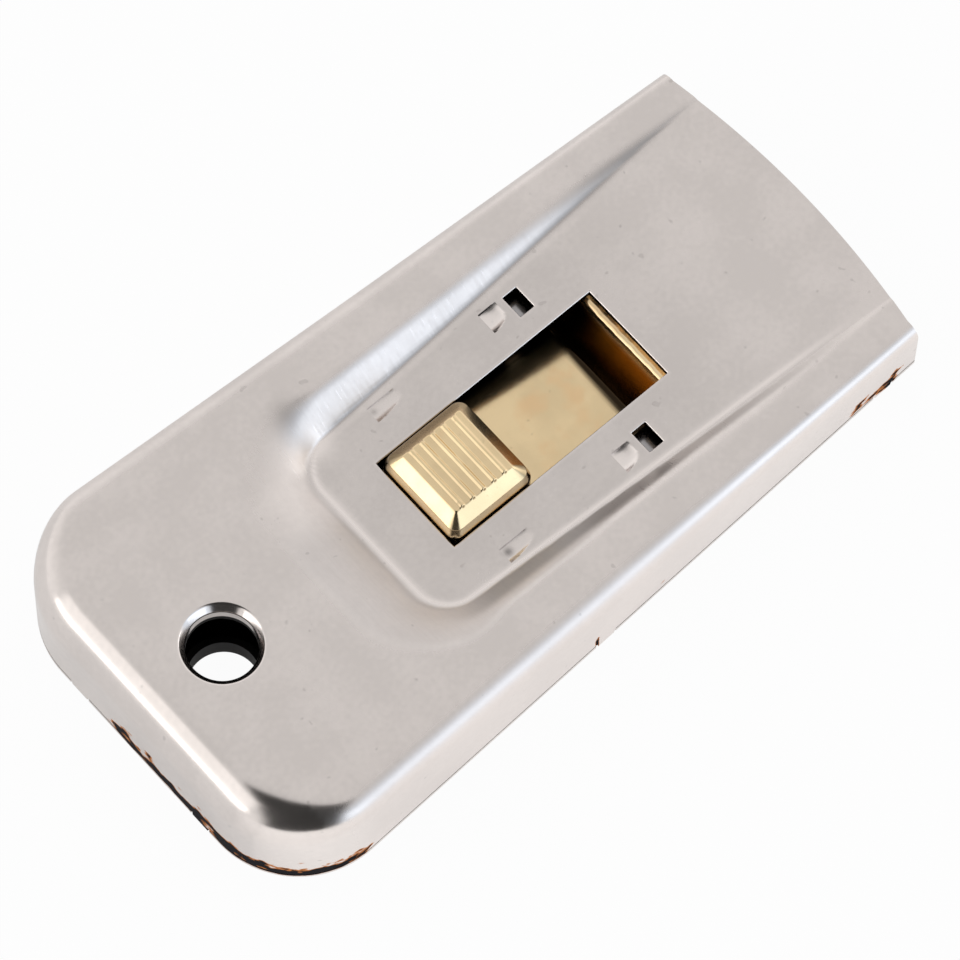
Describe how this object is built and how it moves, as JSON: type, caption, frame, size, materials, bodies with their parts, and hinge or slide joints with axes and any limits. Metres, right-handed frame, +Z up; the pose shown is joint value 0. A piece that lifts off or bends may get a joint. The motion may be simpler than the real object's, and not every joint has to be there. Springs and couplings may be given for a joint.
{
  "type": "glass scraper",
  "caption": "Flat glass scraper: a thin razor blade slides out of a wedge-shaped pressed steel housing when its ribbed brass thumb button is pressed and pushed.",
  "frame": {"origin": "on the ground under the middle of the housing", "axes": "+X along the housing to the end that the blade comes out of, +Y to the left, +Z up out of the cover"},
  "size_m": [0.096, 0.049, 0.0145],
  "materials": {
    "nickel_plate": "satin nickel plate",
    "brass_sheet": "satin, with bright and shaded bends",
    "brass_rivet": "satin",
    "blade_steel": "ground",
    "spring_steel": "dark tempered"
  },
  "bodies": {
    "housing": {"top_cover": "nickel_plate", "base_plate": "nickel_plate"},
    "slide_spring": {"pressure_spring": "spring_steel"},
    "blade_carriage": {"blade_carrier": "brass_sheet", "thumb_button": "brass_sheet", "lower_jaw": "brass_sheet", "left_jaw_rivet": "brass_rivet", "right_jaw_rivet": "brass_rivet", "spring_rivet": "brass_rivet", "razor_blade": "blade_steel", "blade_spine": "blade_steel"}
  },
  "joints": [
    {"name": "thumb_slide", "type": "slide", "parent": "housing", "child": "slide_spring", "axis": [1, 0, 0], "range_m": [0, 0.0188]},
    {"name": "thumb_press", "type": "slide", "parent": "slide_spring", "child": "blade_carriage", "axis": [0, 0, -1], "range_m": [0, 0.0006], "stiffness_N_per_m": 5000, "springref_m": -0.0002, "deforming": ["pressure_spring"]}
  ]
}
